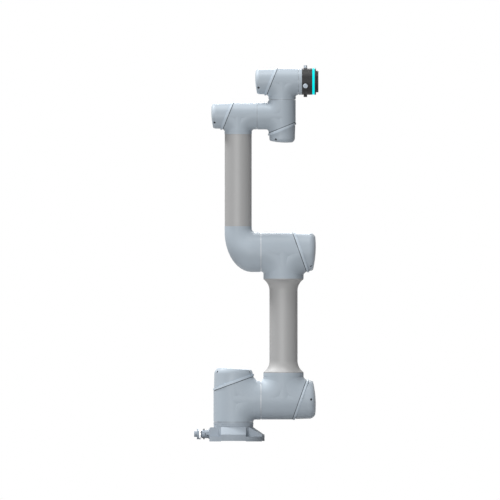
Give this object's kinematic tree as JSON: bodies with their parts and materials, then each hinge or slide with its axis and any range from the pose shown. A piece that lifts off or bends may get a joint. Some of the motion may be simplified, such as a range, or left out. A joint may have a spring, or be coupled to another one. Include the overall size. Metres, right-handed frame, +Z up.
{
  "type": "collaborative robot arm",
  "caption": "Upright six-axis collaborative robot arm: round joint housings with slanted covers, two tubes, scalloped base and lit tool flange.",
  "frame": {"origin": "centre of the base bolt circle on the mounting face", "axes": "+Z up along the straight arm, +X towards the tool flange"},
  "size_m": [0.358, 0.179, 1.0835],
  "materials": {
    "housing_paint": "blue-grey satin powder coat on a casting",
    "cover_paint": "blue-grey satin powder coat on a moulded cover",
    "band_paint": "blue-grey satin powder coat",
    "tube_satin": "satin anodised, turned",
    "collar_satin": "satin anodised",
    "gear_steel": "ground",
    "flange_steel": "ground",
    "rotor_steel": "turned",
    "winding_copper": "enamelled wire on laminations",
    "board_green": "solder resist",
    "connector_grey": "satin nickel",
    "connector_silver": "satin nickel",
    "polished_ring": "polished",
    "tool_black": "black anodised",
    "light_cyan": "lit light guide",
    "button_silver": "satin"
  },
  "bodies": {
    "base": {"base_casting": "housing_paint", "base_connector": "connector_grey", "connector_cap": "connector_grey", "base_joint_flexspline": "flange_steel"},
    "connector_ring": {"coupling_ring": "polished_ring"},
    "shoulder": {"base_joint_housing": "housing_paint", "base_joint_band": "band_paint", "base_joint_cover": "cover_paint", "base_joint_circular_spline": "gear_steel", "base_joint_stator": "winding_copper", "base_joint_drive_board": "board_green", "shoulder_joint_flexspline": "flange_steel"},
    "upper_arm": {"shoulder_joint_housing": "housing_paint", "shoulder_joint_band": "band_paint", "shoulder_joint_cover": "cover_paint", "shoulder_joint_circular_spline": "gear_steel", "shoulder_joint_stator": "winding_copper", "elbow_joint_housing": "housing_paint", "elbow_joint_band": "band_paint", "elbow_joint_cover": "cover_paint", "elbow_joint_circular_spline": "gear_steel", "elbow_joint_stator": "winding_copper", "upper_arm_drive_boards": "board_green", "upper_arm_tube": "tube_satin"},
    "forearm": {"forearm_elbow": "housing_paint", "forearm_tube": "tube_satin", "elbow_joint_flexspline": "flange_steel", "wrist_1_housing": "housing_paint", "wrist_1_band": "band_paint", "wrist_1_cover": "cover_paint", "wrist_1_circular_spline": "gear_steel", "wrist_1_stator": "winding_copper", "wrist_1_drive_board": "board_green"},
    "wrist_lower": {"wrist_2_housing": "housing_paint", "wrist_2_band": "band_paint", "wrist_2_cover": "cover_paint", "wrist_2_circular_spline": "gear_steel", "wrist_2_stator": "winding_copper", "wrist_2_drive_board": "board_green", "wrist_1_flexspline": "flange_steel"},
    "wrist_upper": {"wrist_3_housing": "housing_paint", "wrist_3_band": "band_paint", "wrist_3_cover": "cover_paint", "wrist_3_circular_spline": "gear_steel", "wrist_3_stator": "winding_copper", "wrist_3_drive_board": "board_green", "wrist_2_flexspline": "flange_steel"},
    "tool": {"tool_collar": "collar_satin", "tool_io_ring": "tool_black", "tool_connector": "connector_silver", "light_ring": "light_cyan", "tool_flange": "tool_black", "wrist_3_flexspline": "flange_steel"},
    "button": {"teach_button": "button_silver"},
    "base_joint_motor": {"base_joint_rotor": "rotor_steel"},
    "shoulder_joint_motor": {"shoulder_joint_rotor": "rotor_steel"},
    "elbow_joint_motor": {"elbow_joint_rotor": "rotor_steel"},
    "wrist_1_motor": {"wrist_1_rotor": "rotor_steel"},
    "wrist_2_motor": {"wrist_2_rotor": "rotor_steel"},
    "wrist_3_motor": {"wrist_3_rotor": "rotor_steel"}
  },
  "joints": [
    {"name": "base_turn", "type": "hinge", "parent": "base", "child": "shoulder", "pos_m": [0, 0, 0.056], "axis": [0, 0, 1], "range_deg": [-270, 270]},
    {"name": "shoulder_turn", "type": "hinge", "parent": "shoulder", "child": "upper_arm", "pos_m": [0.079, 0, 0.121], "axis": [1, 0, 0], "range_deg": [-175, 175]},
    {"name": "elbow_turn", "type": "hinge", "parent": "upper_arm", "child": "forearm", "pos_m": [0.079, 0, 0.546], "axis": [1, 0, 0], "range_deg": [-155, 155]},
    {"name": "wrist_1_turn", "type": "hinge", "parent": "forearm", "child": "wrist_lower", "pos_m": [0.068, 0, 0.938], "axis": [-1, 0, 0], "range_deg": [-175, 175]},
    {"name": "wrist_2_turn", "type": "hinge", "parent": "wrist_lower", "child": "wrist_upper", "pos_m": [0.14, 0, 0.985], "axis": [0, 0, 1], "range_deg": [-270, 270]},
    {"name": "wrist_3_turn", "type": "hinge", "parent": "wrist_upper", "child": "tool", "pos_m": [0.187, 0, 1.037], "axis": [1, 0, 0], "range_deg": [-270, 270]},
    {"name": "base_joint_motor_turn", "type": "hinge", "parent": "shoulder", "child": "base_joint_motor", "pos_m": [0, 0, 0.056], "axis": [0, 0, 1], "range_deg": [-27000, 27000]},
    {"name": "shoulder_joint_motor_turn", "type": "hinge", "parent": "upper_arm", "child": "shoulder_joint_motor", "pos_m": [0.079, 0, 0.121], "axis": [1, 0, 0], "range_deg": [-17500, 17500]},
    {"name": "elbow_joint_motor_turn", "type": "hinge", "parent": "upper_arm", "child": "elbow_joint_motor", "pos_m": [0.079, 0, 0.546], "axis": [1, 0, 0], "range_deg": [-15500, 15500]},
    {"name": "wrist_1_motor_turn", "type": "hinge", "parent": "forearm", "child": "wrist_1_motor", "pos_m": [0.068, 0, 0.938], "axis": [-1, 0, 0], "range_deg": [-17500, 17500]},
    {"name": "wrist_2_motor_turn", "type": "hinge", "parent": "wrist_lower", "child": "wrist_2_motor", "pos_m": [0.14, 0, 0.985], "axis": [0, 0, 1], "range_deg": [-27000, 27000]},
    {"name": "wrist_3_motor_turn", "type": "hinge", "parent": "wrist_upper", "child": "wrist_3_motor", "pos_m": [0.187, 0, 1.037], "axis": [1, 0, 0], "range_deg": [-27000, 27000]},
    {"name": "teach_button_press", "type": "slide", "parent": "tool", "child": "button", "axis": [0, 0.9455, 0.3256], "range_m": [0, 0.0012], "stiffness_N_per_m": 900, "springref_m": -0.0006},
    {"name": "coupling_ring_turn", "type": "hinge", "parent": "base", "child": "connector_ring", "pos_m": [-0.0885, 0, 0.0216], "axis": [-1, 0, 0], "range_deg": [0, 60]}
  ],
  "couplings": [
    {"joint": "base_joint_motor_turn", "follows": "base_turn", "ratio": 100},
    {"joint": "shoulder_joint_motor_turn", "follows": "shoulder_turn", "ratio": 100},
    {"joint": "elbow_joint_motor_turn", "follows": "elbow_turn", "ratio": -100},
    {"joint": "wrist_1_motor_turn", "follows": "wrist_1_turn", "ratio": -100},
    {"joint": "wrist_2_motor_turn", "follows": "wrist_2_turn", "ratio": -100},
    {"joint": "wrist_3_motor_turn", "follows": "wrist_3_turn", "ratio": -100}
  ]
}
